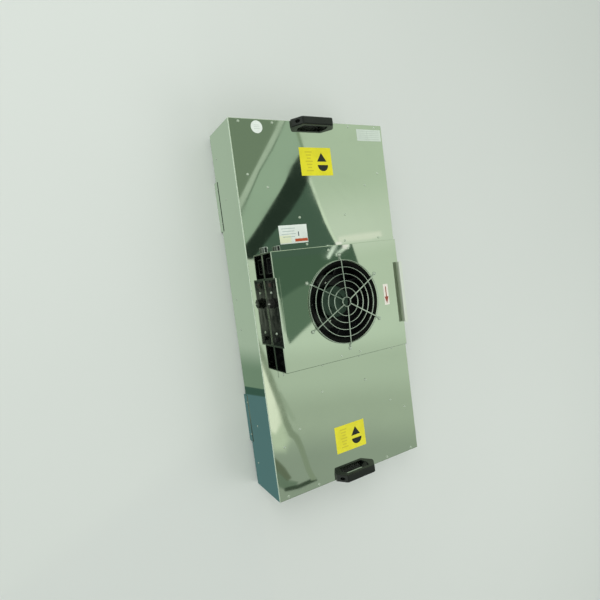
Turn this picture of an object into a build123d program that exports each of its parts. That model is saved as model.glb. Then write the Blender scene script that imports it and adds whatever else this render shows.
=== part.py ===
from build123d import *
from math import cos, radians, sin
import os

# Fan filter unit. A polished steel casing stands on four filter retainers, with the filter
# in its underside. A raised cover on its top face holds the guarded air inlet, and a radial
# fan hangs inside. The origin is at the centre of the retainers' feet, on the plane that the
# unit stands on. +Z is up, towards the inlet, X is the long side and -Y is the control side.

# ---------------------------------------------------------------- driving dimensions (mm)
# Casing
case_length = 1175.0
case_width = 575.0
case_height = 170.0
sheet = 1.2
fold_radius = 2.0

# Filter and its seat
filter_gap = 3.8
filter_height = 69.0
filter_rim = 14.0
filter_corner = 1.0
media_depth = 50.0
media_rise = 9.0
media_thickness = 1.6
pleat_pitch = 12.0
gasket_width = 12.0
gasket_height = 6.0
seat_width = 25.0
seat_upstand = 15.0
net_sheet = 0.8
net_rise = 4.0
net_bar = 3.0
net_columns = 14
net_rows = 7

# Filter retainers under the long sides
retainer_sheet = 1.5
retainer_length = 160.0
retainer_spacing = 712.0
retainer_drop = 15.0
retainer_lap = 12.0
retainer_foot = 22.0
retainer_rivet_spacing = 110.0

# Raised fan cover
cover_length = 364.0
cover_side_gap = 50.5
cover_height = 64.0
cover_flange = 21.0
opening_inset = 13.0
opening_radius = 6.0

# Inlet and finger guard
inlet_radius = 131.0
inlet_lip_gap = 1.0
ring_sheet = 1.5
ring_flange = 15.0
throat_radius = 112.0
throat_drop = 32.0
throat_straight = 8.0
guard_ring_first = 44.5
guard_ring_lap = 1.5
guard_rings = 5
guard_hub_radius = 15.0
guard_wire = 3.4
guard_spokes = 6
guard_bolt_gap = 19.0
guard_dome = 12.0
guard_shoulder_rise = 7.0
guard_foot_bend = 6.0
guard_foot_lap = 2.0
guard_weld = 0.75
eyelet_radius = 6.5
eyelet_sheet = 1.6

# Impeller and motor
wheel_radius = 160.0
wheel_sheet = 2.0
wheel_gap = 3.5
blade_count = 8
blade_inner_radius = 90.0
blade_sheet = 2.4
blade_sweep = 42.0
blade_middle_sweep = 17.6
blade_belly = 3.0
blade_tip_gap = 1.5
blade_height = 60.0
wheel_lift = 20.0
shroud_rise = 18.0
shroud_lip = 8.0
hub_radius = 56.0
wheel_hub_gap = 1.0
hub_height = 70.0
hub_edge = 8.0
hub_groove_radius = 28.0
hub_groove_width = 5.6
hub_groove_depth = 2.5
hub_flange_radius = 74.0
hub_flange_sheet = 3.0
shaft_radius = 6.0
shaft_fit = 0.05
shaft_end_gap = 2.0
running_gap = 0.3
stator_radius = 50.0
stator_height = 15.0
stator_flange_radius = 66.0
stator_flange_sheet = 4.0
motor_bolt_circle = 116.0
impeller_bolt_circle = 130.0
motor_plate_sheet = 2.5
motor_plate_length = 180.0
motor_plate_corner = 8.0
capacitor_radius = 14.0
capacitor_length = 56.0
capacitor_gap = 2.0
capacitor_foot_length = 28.0
capacitor_foot_width = 17.0

# Support rails that hang the motor plate from the casing's top face
rail_sheet = 2.5
rail_width = 30.0
rail_spacing = 176.0
rail_drop = 83.0
rail_screw_spacing = 568.0
rail_tab = 24.0

# Control bay in the cover's -Y wall
bay_window_height = 54.0
bay_post = 2.0
bay_end_post = 4.0
tray_depth = 24.0
tray_sheet = 2.0
tray_lap = 2.0
bracket_sheet = 1.5
bracket_length = 208.0
bracket_rise = 16.0
bracket_base = 2.0
bracket_hem = 6.0
bracket_lip = 11.0
bracket_bend = 0.9
bracket_screw_spacing = 124.0
bracket_screw_height = 40.0
control_plate_sheet = 2.0
control_plate_rim = 5.0
control_plate_top_gap = 1.0
knob_x = -30.0
knob_radius = 17.0
knob_height = 15.0
knob_skirt_height = 3.75
knob_grip_radius = 13.6
knob_flute_circle = 14.6
knob_flute_radius = 2.7
knob_flutes = 8
knob_mark_length = 12.0
knob_mark_width = 1.6
knob_mark_depth = 0.8
knob_shaft_radius = 3.0
knob_shaft_reach = 7.5
knob_shaft_gap = 1.5
controller_width = 40.0
controller_height = 34.0
controller_depth = 18.0
rocker_x = -85.0
rocker_width = 11.0
rocker_radius = 9.0
rocker_rest_tilt = 8.0
rocker_pivot_depth = 2.0
rocker_waist = 4.0
rocker_tip = 6.5
rocker_stub_radius = 1.5
rocker_stub_length = 1.2
bezel_length = 18.0
bezel_height = 26.0
bezel_corner = 1.5
bezel_lip = 2.0
bezel_wall = 1.6
bezel_depth = 14.0
bezel_gap = 0.3
fuse_x = 80.0
fuse_radius = 7.0
fuse_height = 9.0
fuse_body_radius = 5.0
fuse_body_depth = 18.0
fuse_body_gap = 0.3
fuse_edge = 1.0
fuse_slot_length = 9.8
fuse_slot_width = 1.6
fuse_slot_depth = 1.5
inlet_block_length = 48.0
inlet_block_height = 30.0
inlet_block_depth = 18.0
inlet_block_corner = 4.0
inlet_well_depth = 14.0
inlet_well_corner = 2.0
inlet_wall = 3.0
inlet_pin_spacing = 11.0
inlet_pin_width = 1.6
inlet_pin_height = 5.0
inlet_pin_recess = 3.0

# Handles
handle_length = 154.0
handle_width = 25.0
handle_height = 40.0
handle_grip = 15.0
handle_gap_length = 104.0
handle_leg_run = 8.0
handle_top_run = 4.0
handle_bend = 10.0
handle_edge = 4.0
handle_overhang = 3.0
handle_screw_spacing = 132.0
handle_pad = 8.0
handle_bore_gap = 1.0

# Fasteners
screw_head_radius = 4.2
screw_head_height = 2.0
screw_shank_radius = 2.0
screw_hole_radius = 2.3
screw_length = 6.0
screw_taper = 24.0
fastener_sides = 16
shank_sides = 8
rivet_head_radius = 3.6
rivet_head_height = 1.2
rivet_shank_radius = 1.6
rivet_hole_radius = 1.9

# Screw and rivet rows, by how far they stand from the edges that they follow
end_row_inset = 9.5
end_row_side_inset = 32.5
end_row_pitch = 112.0
seam_screw_end_inset = 166.5
seam_screw_side_inset = 40.5
panel_screw_end_inset = 206.5
panel_screw_side_inset = 101.5
flange_screw_inset = 5.5
flange_screw_side_inset = 19.0
flange_screw_pitch = 144.0
cover_screw_inset = 14.0
cover_screw_spacing = 74.0
middle_rivet_spacing = 100.0
middle_rivet_height = 40.0
side_rivet_end_inset = 219.5
side_rivet_height = 68.0
end_rivet_end_inset = 83.5
end_rivet_height = 31.0

# Labels and plates, by how far their centres stand from the edges that they follow
label_sheet = 0.3
yellow_label_length = 90.0
yellow_label_width = 120.0
yellow_label_end_inset = 127.5
rating_label_length = 58.0
rating_label_width = 101.0
rating_label_end_gap = 51.0
rating_label_side_inset = 119.0
type_plate_length = 39.0
type_plate_width = 104.0
type_plate_end_inset = 35.5
type_plate_side_inset = 58.5
flow_label_length = 70.0
flow_label_width = 20.0
flow_label_gap = 40.0
round_label_radius = 19.0
round_label_end_inset = 24.5
round_label_side_inset = 90.5

# Connectors beside the cover
plug_length = 18.0
plug_width = 11.0
plug_height = 16.0
plug_wall = 1.5
plug_floor = 4.0
plug_pin_radius = 0.9
plug_pin_spacing = 5.0
plug_pin_recess = 3.0
plug_gap = 0.3
plug_side_inset = 8.0
plug_pitch = 43.0

# ---------------------------------------------------------------- derived places
case_bottom = retainer_drop
face_z = case_bottom + case_height
face_under = face_z - sheet
inner_length = case_length - 2 * sheet
inner_width = case_width - 2 * sheet
filter_length = inner_length - 2 * filter_gap
filter_width = inner_width - 2 * filter_gap
pack_length = filter_length - 2 * filter_rim
pack_width = filter_width - 2 * filter_rim
cover_width = case_width - 2 * cover_side_gap
cover_top = face_z + cover_height
cover_under = cover_top - sheet
cover_y = cover_width / 2
filter_bottom = retainer_sheet
filter_top = filter_bottom + filter_height
seat_z = filter_top + gasket_height
rail_bottom = face_under - rail_drop
plate_top = rail_bottom + rail_sheet + motor_plate_sheet
guard_bolt_circle = 2 * (inlet_radius + guard_bolt_gap)
guard_ring_pitch = (inlet_radius + guard_ring_lap - guard_ring_first) / (guard_rings - 1)
hub_bottom = plate_top + stator_flange_sheet + stator_height + running_gap
wheel_back_z = hub_bottom + wheel_lift
shroud_z = wheel_back_z + blade_height
throat_z = cover_under - ring_sheet - throat_drop
eye_radius = throat_radius + ring_sheet + wheel_gap
motor_plate_width = rail_spacing + rail_width
bay_z = (face_z + cover_top) / 2
bay_window_length = cover_length / 2 - bay_end_post - bracket_length / 2 - bay_post
bay_x = bracket_length / 2 + bay_post + bay_window_length / 2
tray_length = 2 * bay_x + bay_window_length + 2 * tray_lap
tray_height = bay_window_height + 2 * tray_lap
wall_inner_y = -cover_y + sheet
bracket_y = -cover_y - bracket_sheet
plate_y = bracket_y - control_plate_sheet
controls_z = face_z + bracket_screw_height
bezel_body_length = bezel_length - 2 * bezel_lip
bezel_body_height = bezel_height - 2 * bezel_lip

end_x = case_length / 2
side_y = case_width / 2


def corner_spots(x, y):
    """The four points at plus and minus x and y."""
    return [(east * x, north * y) for east in (-1, 1) for north in (-1, 1)]


def row_spots(x, outer_y, pitch):
    """Two rows, at plus and minus x, that start at outer_y and step inwards on both sides."""
    return corner_spots(x, outer_y) + corner_spots(x, outer_y - pitch)


# Where the screws and rivets of each group stand
end_row_spots = row_spots(end_x - end_row_inset, side_y - end_row_side_inset, end_row_pitch)
seam_spots = corner_spots(end_x - seam_screw_end_inset, side_y - seam_screw_side_inset)
panel_spots = corner_spots(end_x - panel_screw_end_inset, side_y - panel_screw_side_inset)
face_screw_spots = panel_spots + seam_spots + end_row_spots
rail_screw_spots = corner_spots(rail_screw_spacing / 2, rail_spacing / 2)
flange_screw_x = cover_length / 2 + cover_flange - flange_screw_inset
flange_screw_y = cover_y - flange_screw_side_inset
flange_screw_spots = row_spots(flange_screw_x, flange_screw_y, flange_screw_pitch)
cover_screw_spots = corner_spots(cover_length / 2 - cover_screw_inset, cover_screw_spacing / 2)
handle_x = end_x + handle_overhang - handle_width / 2
handle_screw_spots = corner_spots(handle_x, handle_screw_spacing / 2)
wall_rivet_spots = [
    (side * x, case_bottom + height)
    for x, height in (
        (middle_rivet_spacing / 2, middle_rivet_height),
        (end_x - side_rivet_end_inset, side_rivet_height),
        (end_x - end_rivet_end_inset, end_rivet_height),
    )
    for side in (-1, 1)
]
retainer_rivet_spots = [
    (end * retainer_spacing / 2 + step * retainer_rivet_spacing / 2, case_bottom + retainer_lap / 2)
    for end in (-1, 1)
    for step in (-1, 1)
]
bracket_screw_spots = [(side * bracket_screw_spacing / 2, controls_z) for side in (-1, 1)]


def front_plane(y):
    """A sketch plane that faces -Y, with its own x along X and its own y along Z."""
    return Plane(origin=(0, -y, 0), x_dir=(1, 0, 0), z_dir=(0, -1, 0))


def back_plane(y):
    """The opposite plane, which faces +Y and has its own x along -X."""
    return Plane(origin=(0, y, 0), x_dir=(-1, 0, 0), z_dir=(0, 1, 0))


def radial_plane(angle):
    """An upright plane through the Z axis, with its own x pointing outwards at an angle."""
    turn = radians(angle)
    return Plane(origin=(0, 0, 0), x_dir=(cos(turn), sin(turn), 0), z_dir=(sin(turn), -cos(turn), 0))


def bolt_circle(diameter, count, first_angle=0.0):
    """Points spaced evenly round a bolt circle."""
    angles = [radians(first_angle + step * 360 / count) for step in range(count)]
    return [(diameter / 2 * cos(angle), diameter / 2 * sin(angle)) for angle in angles]


def screw_holes(plane, spots, depth, radius=screw_hole_radius):
    """Cuts screw or rivet holes down from a plane in the part being built."""
    with BuildSketch(plane) as holes:
        with Locations(*spots):
            RegularPolygon(radius, shank_sides)
    extrude(holes.sketch, amount=-depth, mode=Mode.SUBTRACT)


def screws(plane, spots, length, head=(screw_head_radius, screw_head_height), shank=screw_shank_radius):
    """Adds screws that stand on a plane, with a bevelled head and a plain shank."""
    head_radius, head_height = head
    with BuildSketch(plane) as heads:
        with Locations(*spots):
            RegularPolygon(head_radius, fastener_sides)
    extrude(heads.sketch, amount=head_height, taper=screw_taper)
    with BuildSketch(plane) as shanks:
        with Locations(*spots):
            RegularPolygon(shank, shank_sides)
    extrude(shanks.sketch, amount=-length)


def control_cutouts(plane, depth):
    """Cuts the holes for the rocker's body, the knob's shaft and the fuse through one sheet."""
    with BuildSketch(plane) as cutouts:
        with Locations((rocker_x, controls_z)):
            Rectangle(bezel_body_length + 2 * bezel_gap, bezel_body_height + 2 * bezel_gap)
        with Locations((knob_x, controls_z)):
            Circle(knob_shaft_radius + knob_shaft_gap)
        with Locations((fuse_x, controls_z)):
            Circle(fuse_body_radius + fuse_body_gap)
    extrude(cutouts.sketch, amount=-depth, mode=Mode.SUBTRACT)


# ---------------------------------------------------------------- casing
with BuildPart() as casing:
    with BuildSketch(Plane.XY.offset(case_bottom)):
        Rectangle(case_length, case_width)
    extrude(amount=case_height)
    fillet(casing.edges().filter_by(Axis.Z), radius=fold_radius)
    fillet(casing.faces().sort_by(Axis.Z)[-1].edges(), radius=fold_radius)
    offset(amount=-sheet, openings=casing.faces().sort_by(Axis.Z)[0])
    with BuildSketch(Plane.XY.offset(face_z)):
        RectangleRounded(
            cover_length - 2 * opening_inset, cover_width - 2 * opening_inset, opening_radius
        )
    extrude(amount=-2 * sheet, mode=Mode.SUBTRACT)
    top_spots = face_screw_spots + rail_screw_spots + flange_screw_spots + handle_screw_spots
    screw_holes(Plane.XY.offset(face_z), top_spots, 2 * sheet)
    for wall in (front_plane(side_y), back_plane(side_y)):
        screw_holes(wall, wall_rivet_spots + retainer_rivet_spots, 2 * sheet, rivet_hole_radius)
casing.part.label = "casing"
export_step(casing.part, "parts/casing.step")

# ---------------------------------------------------------------- filter seat and filter
with BuildPart() as filter_seat:
    with BuildSketch(Plane.XY.offset(seat_z)):
        RectangleRounded(inner_length, inner_width, fold_radius)
        Rectangle(inner_length - 2 * seat_width, inner_width - 2 * seat_width, mode=Mode.SUBTRACT)
    extrude(amount=sheet)
    with BuildSketch(Plane.XY.offset(seat_z + sheet)):
        RectangleRounded(inner_length, inner_width, fold_radius)
        Rectangle(inner_length - 2 * sheet, inner_width - 2 * sheet, mode=Mode.SUBTRACT)
    extrude(amount=seat_upstand)
filter_seat.part.label = "filter_seat"
export_step(filter_seat.part, "parts/filter_seat.step")

with BuildPart() as filter_frame:
    with BuildSketch(Plane.XY.offset(filter_bottom)):
        Rectangle(filter_length, filter_width)
        Rectangle(pack_length, pack_width, mode=Mode.SUBTRACT)
    extrude(amount=filter_height)
    corners = filter_frame.edges().filter_by(Axis.Z).group_by(Axis.X)
    chamfer(corners[0] + corners[-1], length=filter_corner)
filter_frame.part.label = "filter_frame"
export_step(filter_frame.part, "parts/filter_frame.step")

with BuildPart() as filter_media:
    pleats = int(pack_length / pleat_pitch)
    half_pitch = pack_length / pleats / 2
    low = filter_bottom + media_rise
    high = low + media_depth - media_thickness
    ridge = [
        (-pack_length / 2 + step * half_pitch, high if step % 2 else low)
        for step in range(2 * pleats + 1)
    ]
    upper = [(x, z + media_thickness) for x, z in reversed(ridge)]
    with BuildSketch(Plane.XZ):
        with BuildLine():
            Polyline(*ridge, *upper, close=True)
        make_face()
    extrude(amount=pack_width / 2, both=True)
filter_media.part.label = "filter_media"
export_step(filter_media.part, "parts/filter_media.step")

with BuildPart() as filter_net:
    cell_length = (pack_length - net_bar) / net_columns
    cell_width = (pack_width - net_bar) / net_rows
    with BuildSketch(Plane.XY.offset(filter_bottom + net_rise)):
        Rectangle(pack_length, pack_width)
        with GridLocations(cell_length, cell_width, net_columns, net_rows):
            Rectangle(cell_length - net_bar, cell_width - net_bar, mode=Mode.SUBTRACT)
    extrude(amount=net_sheet)
filter_net.part.label = "filter_net"
export_step(filter_net.part, "parts/filter_net.step")

with BuildPart() as filter_gasket:
    with BuildSketch(Plane.XY.offset(filter_top)):
        Rectangle(filter_length, filter_width)
        Rectangle(filter_length - 2 * gasket_width, filter_width - 2 * gasket_width, mode=Mode.SUBTRACT)
    extrude(amount=gasket_height)
filter_gasket.part.label = "filter_gasket"
export_step(filter_gasket.part, "parts/filter_gasket.step")

# ---------------------------------------------------------------- filter retainers
retainer_names = {
    (-1, -1): "filter_retainer_front_left",
    (1, -1): "filter_retainer_front_right",
    (-1, 1): "filter_retainer_back_left",
    (1, 1): "filter_retainer_back_right",
}
for (end, side), retainer_name in retainer_names.items():
    outer_y = side_y + retainer_sheet
    leg_top = retainer_drop + retainer_lap
    with BuildPart() as retainer:
        with BuildSketch(Plane.YZ.offset(end * retainer_spacing / 2 - retainer_length / 2)):
            with Locations((side * (outer_y - retainer_sheet / 2), leg_top / 2)):
                Rectangle(retainer_sheet, leg_top)
            with Locations((side * (outer_y - retainer_foot / 2), retainer_sheet / 2)):
                Rectangle(retainer_foot, retainer_sheet)
        extrude(amount=retainer_length)
        heel = retainer.edges().filter_by(Axis.X).group_by(Axis.Z)[0].sort_by(Axis.Y)
        fillet(heel[-1] if side > 0 else heel[0], radius=retainer_sheet * 0.9)
        rivet_plane = front_plane(outer_y) if side < 0 else back_plane(outer_y)
        turn = 1 if side < 0 else -1
        spots = [(turn * x, z) for x, z in retainer_rivet_spots if x * end > 0]
        screw_holes(rivet_plane, spots, 2 * retainer_sheet, rivet_hole_radius)
    retainer.part.label = retainer_name
    export_step(retainer.part, f"parts/{retainer_name}.step")

with BuildPart() as retainer_rivets:
    rivet_head = (rivet_head_radius, rivet_head_height)
    rivet_length = retainer_sheet + sheet
    for wall in (front_plane(outer_y), back_plane(outer_y)):
        screws(wall, retainer_rivet_spots, rivet_length, rivet_head, rivet_shank_radius)
retainer_rivets.part.label = "retainer_rivets"
export_step(retainer_rivets.part, "parts/retainer_rivets.step")

with BuildPart() as wall_rivets:
    for wall in (front_plane(side_y), back_plane(side_y)):
        screws(wall, wall_rivet_spots, sheet, rivet_head, rivet_shank_radius)
wall_rivets.part.label = "wall_rivets"
export_step(wall_rivets.part, "parts/wall_rivets.step")

# ---------------------------------------------------------------- raised fan cover
with BuildPart() as fan_cover:
    with BuildSketch(Plane.XY.offset(face_z)):
        Rectangle(cover_length, cover_width)
    extrude(amount=cover_height)
    fillet(fan_cover.edges().filter_by(Axis.Z), radius=fold_radius)
    fillet(fan_cover.faces().sort_by(Axis.Z)[-1].edges(), radius=fold_radius)
    offset(amount=-sheet, openings=fan_cover.faces().sort_by(Axis.Z)[0])
    with BuildSketch(Plane.XY.offset(face_z)):
        flange_x = cover_length / 2 + (cover_flange - sheet) / 2
        with Locations((-flange_x, 0), (flange_x, 0)):
            Rectangle(cover_flange + sheet, cover_width - 2 * fold_radius)
    extrude(amount=sheet)
    with BuildSketch(Plane.XY.offset(cover_top)):
        Circle(inlet_radius)
    extrude(amount=-2 * sheet, mode=Mode.SUBTRACT)
    with BuildSketch(front_plane(cover_y)):
        with Locations((-bay_x, bay_z), (bay_x, bay_z)):
            RectangleRounded(bay_window_length, bay_window_height, fold_radius)
    extrude(amount=-2 * sheet, mode=Mode.SUBTRACT)
    control_cutouts(front_plane(cover_y), 2 * sheet)
    for wall in (front_plane(cover_y), back_plane(cover_y)):
        screw_holes(wall, bracket_screw_spots, 2 * sheet)
    screw_holes(Plane.XY.offset(face_z + sheet), flange_screw_spots, 2 * sheet)
    guard_screw_spots = bolt_circle(guard_bolt_circle, guard_spokes)
    screw_holes(Plane.XY.offset(cover_top), cover_screw_spots + guard_screw_spots, 2 * sheet)
fan_cover.part.label = "fan_cover"
export_step(fan_cover.part, "parts/fan_cover.step")

# ---------------------------------------------------------------- inlet ring
with BuildPart() as inlet_ring:
    ring_top = cover_under
    lip_radius = inlet_radius - inlet_lip_gap
    curve_height = throat_drop - throat_straight
    with BuildSketch(Plane.XZ):
        with BuildLine():
            Line((inlet_radius + ring_flange, ring_top), (lip_radius, ring_top))
            mouth = EllipticalCenterArc(
                (lip_radius, ring_top - curve_height),
                lip_radius - throat_radius,
                curve_height,
                start_angle=90,
                arc_size=90,
            )
            Line(mouth @ 1, (throat_radius, throat_z))
            Line((throat_radius, throat_z), (throat_radius + ring_sheet, throat_z))
            Line(
                (throat_radius + ring_sheet, throat_z),
                (throat_radius + ring_sheet, ring_top - curve_height),
            )
            back = EllipticalCenterArc(
                (lip_radius, ring_top - curve_height),
                lip_radius - throat_radius - ring_sheet,
                curve_height - ring_sheet,
                start_angle=90,
                arc_size=90,
            )
            Line(back @ 0, (inlet_radius + ring_flange, ring_top - ring_sheet))
            Line(
                (inlet_radius + ring_flange, ring_top - ring_sheet),
                (inlet_radius + ring_flange, ring_top),
            )
        make_face()
    revolve(axis=Axis.Z)
inlet_ring.part.label = "inlet_ring"
export_step(inlet_ring.part, "parts/inlet_ring.step")

# ---------------------------------------------------------------- finger guard
with BuildPart() as finger_guard:
    wire_radius = guard_wire / 2
    eyelet_z = cover_top + eyelet_sheet
    hub_z = cover_top + guard_dome + wire_radius
    spoke_foot = guard_bolt_circle / 2 - eyelet_radius
    spoke_shoulder = guard_ring_first + (guard_rings - 1) * guard_ring_pitch
    low_z = cover_top + wire_radius
    shoulder_z = cover_top + guard_shoulder_rise
    with BuildSketch(Plane.XZ):
        for ring in range(guard_rings):
            ring_radius = guard_ring_first + ring * guard_ring_pitch
            share = (spoke_shoulder - ring_radius) / (spoke_shoulder - guard_hub_radius)
            ring_z = shoulder_z + share * (hub_z - shoulder_z) - guard_weld * guard_wire
            with Locations((ring_radius, ring_z)):
                RegularPolygon(wire_radius, 6)
        with Locations((guard_hub_radius, hub_z - guard_weld * guard_wire)):
            RegularPolygon(wire_radius, 6)
    revolve(axis=Axis.Z)
    for spoke in range(guard_spokes):
        with BuildSketch(radial_plane(spoke * 360 / guard_spokes)):
            with BuildLine():
                run = Polyline(
                    (guard_hub_radius - wire_radius, hub_z),
                    (spoke_shoulder, shoulder_z),
                    (spoke_shoulder + guard_foot_bend, low_z),
                    (spoke_foot + guard_foot_lap, low_z),
                )
            trace(run, line_width=guard_wire)
        extrude(amount=wire_radius, both=True)
    with BuildSketch(Plane.XY.offset(cover_top)):
        with Locations(*guard_screw_spots):
            RegularPolygon(eyelet_radius, fastener_sides)
            RegularPolygon(screw_hole_radius, shank_sides, mode=Mode.SUBTRACT)
    extrude(amount=eyelet_sheet)
finger_guard.part.label = "finger_guard"
export_step(finger_guard.part, "parts/finger_guard.step")

with BuildPart() as guard_screws:
    screws(Plane.XY.offset(cover_top + eyelet_sheet), guard_screw_spots, screw_length)
guard_screws.part.label = "guard_screws"
export_step(guard_screws.part, "parts/guard_screws.step")

# ---------------------------------------------------------------- impeller and its motor
wheel_screw_spots = bolt_circle(impeller_bolt_circle, 4)
motor_screw_spots = bolt_circle(motor_bolt_circle, 4, first_angle=45)
with BuildPart() as impeller:
    back_top = wheel_back_z + wheel_sheet
    shroud_edge_z = shroud_z - shroud_rise
    with BuildSketch(Plane.XY.offset(wheel_back_z)):
        Circle(wheel_radius)
        Circle(hub_radius + wheel_hub_gap, mode=Mode.SUBTRACT)
    extrude(amount=wheel_sheet)
    screw_holes(Plane.XY.offset(back_top), wheel_screw_spots, wheel_sheet)
    # Backward-curved blades, each a bent strip that stands on the back plate
    with BuildSketch(Plane.XY.offset(back_top)):
        for blade in range(blade_count):
            turn = blade * 360 / blade_count
            inner = Vector(blade_inner_radius, 0).rotate(Axis.Z, turn)
            middle_radius = (blade_inner_radius + wheel_radius) / 2 + blade_belly
            middle = Vector(middle_radius, 0).rotate(Axis.Z, turn - blade_middle_sweep)
            outer = Vector(wheel_radius - blade_tip_gap, 0).rotate(Axis.Z, turn - blade_sweep)
            with BuildLine():
                strip = ThreePointArc(inner, middle, outer)
            trace(strip, line_width=blade_sheet)
    extrude(amount=blade_height)
    # The blades end inside the shroud, so what stands above its middle is cut away
    cut_top = back_top + blade_height
    with BuildSketch(Plane.XZ):
        with BuildLine():
            Polyline(
                (0, cut_top),
                (0, shroud_z - shroud_lip / 2),
                (eye_radius + wheel_sheet / 2, shroud_z - shroud_lip / 2),
                (eye_radius + wheel_sheet / 2, shroud_z - wheel_sheet / 2),
                (wheel_radius, shroud_edge_z - wheel_sheet / 2),
                (wheel_radius, cut_top),
                close=True,
            )
        make_face()
    revolve(axis=Axis.Z, mode=Mode.SUBTRACT)
    # Shroud ring: a lip round the eye and a shallow cone out to the rim
    with BuildSketch(Plane.XZ):
        with BuildLine():
            Polyline(
                (eye_radius, shroud_z + shroud_lip),
                (eye_radius, shroud_z - wheel_sheet),
                (wheel_radius, shroud_edge_z - wheel_sheet),
                (wheel_radius, shroud_edge_z),
                (eye_radius + wheel_sheet, shroud_z),
                (eye_radius + wheel_sheet, shroud_z + shroud_lip),
                close=True,
            )
        make_face()
    revolve(axis=Axis.Z)
impeller.part.label = "impeller"
export_step(impeller.part, "parts/impeller.step")

with BuildPart() as motor_rotor:
    with BuildSketch(Plane.XY.offset(hub_bottom)):
        Circle(hub_radius)
    extrude(amount=hub_height)
    fillet(motor_rotor.faces().sort_by(Axis.Z)[-1].edges(), radius=hub_edge)
    with BuildSketch(Plane.XY.offset(hub_bottom + hub_height)):
        Circle(hub_groove_radius + hub_groove_width / 2)
        Circle(hub_groove_radius - hub_groove_width / 2, mode=Mode.SUBTRACT)
    extrude(amount=-hub_groove_depth, mode=Mode.SUBTRACT)
    with BuildSketch(Plane.XY.offset(wheel_back_z - hub_flange_sheet)):
        Circle(hub_flange_radius)
    extrude(amount=hub_flange_sheet)
    screw_holes(Plane.XY.offset(wheel_back_z), wheel_screw_spots, hub_flange_sheet)
    with BuildSketch(Plane.XY.offset(hub_bottom)):
        Circle(shaft_radius + shaft_fit)
    extrude(amount=hub_height / 2, mode=Mode.SUBTRACT)
motor_rotor.part.label = "motor_rotor"
export_step(motor_rotor.part, "parts/motor_rotor.step")

with BuildPart() as impeller_screws:
    screws(Plane.XY.offset(back_top), wheel_screw_spots, wheel_sheet + hub_flange_sheet)
impeller_screws.part.label = "impeller_screws"
export_step(impeller_screws.part, "parts/impeller_screws.step")

flange_top = plate_top + stator_flange_sheet
with BuildPart() as motor_stator:
    with BuildSketch(Plane.XY.offset(plate_top)):
        Circle(stator_flange_radius)
    extrude(amount=stator_flange_sheet)
    screw_holes(Plane.XY.offset(flange_top), motor_screw_spots, stator_flange_sheet)
    with BuildSketch(Plane.XY.offset(flange_top)):
        Circle(stator_radius)
    extrude(amount=stator_height)
    with BuildSketch(Plane.XY.offset(flange_top + stator_height)):
        Circle(shaft_radius)
    extrude(amount=hub_height / 2 - shaft_end_gap)
motor_stator.part.label = "motor_stator"
export_step(motor_stator.part, "parts/motor_stator.step")

with BuildPart() as motor_screws:
    screws(Plane.XY.offset(flange_top), motor_screw_spots, stator_flange_sheet + motor_plate_sheet)
motor_screws.part.label = "motor_screws"
export_step(motor_screws.part, "parts/motor_screws.step")

with BuildPart() as motor_plate:
    with BuildSketch(Plane.XY.offset(plate_top - motor_plate_sheet)):
        RectangleRounded(motor_plate_length, motor_plate_width, motor_plate_corner)
    extrude(amount=motor_plate_sheet)
    screw_holes(Plane.XY.offset(plate_top), motor_screw_spots, motor_plate_sheet)
motor_plate.part.label = "motor_plate"
export_step(motor_plate.part, "parts/motor_plate.step")

with BuildPart() as run_capacitor:
    capacitor_y = stator_flange_radius + capacitor_radius + capacitor_gap
    with BuildSketch(Plane.YZ.offset(-capacitor_length / 2)):
        with Locations((capacitor_y, plate_top + capacitor_radius)):
            Circle(capacitor_radius)
    extrude(amount=capacitor_length)
    with BuildSketch(Plane.XY.offset(plate_top)):
        with Locations((0, capacitor_y)):
            Rectangle(capacitor_foot_length, capacitor_foot_width)
    extrude(amount=capacitor_radius)
run_capacitor.part.label = "run_capacitor"
export_step(run_capacitor.part, "parts/run_capacitor.step")

# ---------------------------------------------------------------- support rails
for side, rail_name in ((-1, "support_rail_front"), (1, "support_rail_back")):
    tab_end = rail_screw_spacing / 2 + rail_tab / 2
    web_x = rail_screw_spacing / 2 - rail_tab / 2
    half_sheet = rail_sheet / 2
    with BuildPart() as rail:
        with BuildSketch(front_plane(-side * rail_spacing / 2)):
            with BuildLine():
                bend = FilletPolyline(
                    (-tab_end, face_under - half_sheet),
                    (-web_x, face_under - half_sheet),
                    (-web_x, rail_bottom + half_sheet),
                    (web_x, rail_bottom + half_sheet),
                    (web_x, face_under - half_sheet),
                    (tab_end, face_under - half_sheet),
                    radius=2 * rail_sheet,
                )
                offset(bend, amount=half_sheet, kind=Kind.INTERSECTION, side=Side.BOTH)
            make_face()
        extrude(amount=rail_width / 2, both=True)
        rail_spots = [(x, y) for x, y in rail_screw_spots if y * side > 0]
        screw_holes(Plane.XY.offset(face_under), rail_spots, 2 * rail_sheet)
    rail.part.label = rail_name
    export_step(rail.part, f"parts/{rail_name}.step")

with BuildPart() as rail_screws:
    screws(Plane.XY.offset(face_z), rail_screw_spots, screw_length)
rail_screws.part.label = "rail_screws"
export_step(rail_screws.part, "parts/rail_screws.step")

# ---------------------------------------------------------------- control bay
with BuildPart() as control_tray:
    with BuildSketch(front_plane(-wall_inner_y)):
        with Locations((0, bay_z)):
            Rectangle(tray_length, tray_height)
    extrude(amount=-tray_depth)
    with BuildSketch(front_plane(-wall_inner_y)):
        with Locations((0, bay_z)):
            Rectangle(tray_length - 2 * tray_sheet, tray_height - 2 * tray_sheet)
    extrude(amount=tray_sheet - tray_depth, mode=Mode.SUBTRACT)
control_tray.part.label = "control_tray"
export_step(control_tray.part, "parts/control_tray.step")

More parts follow.
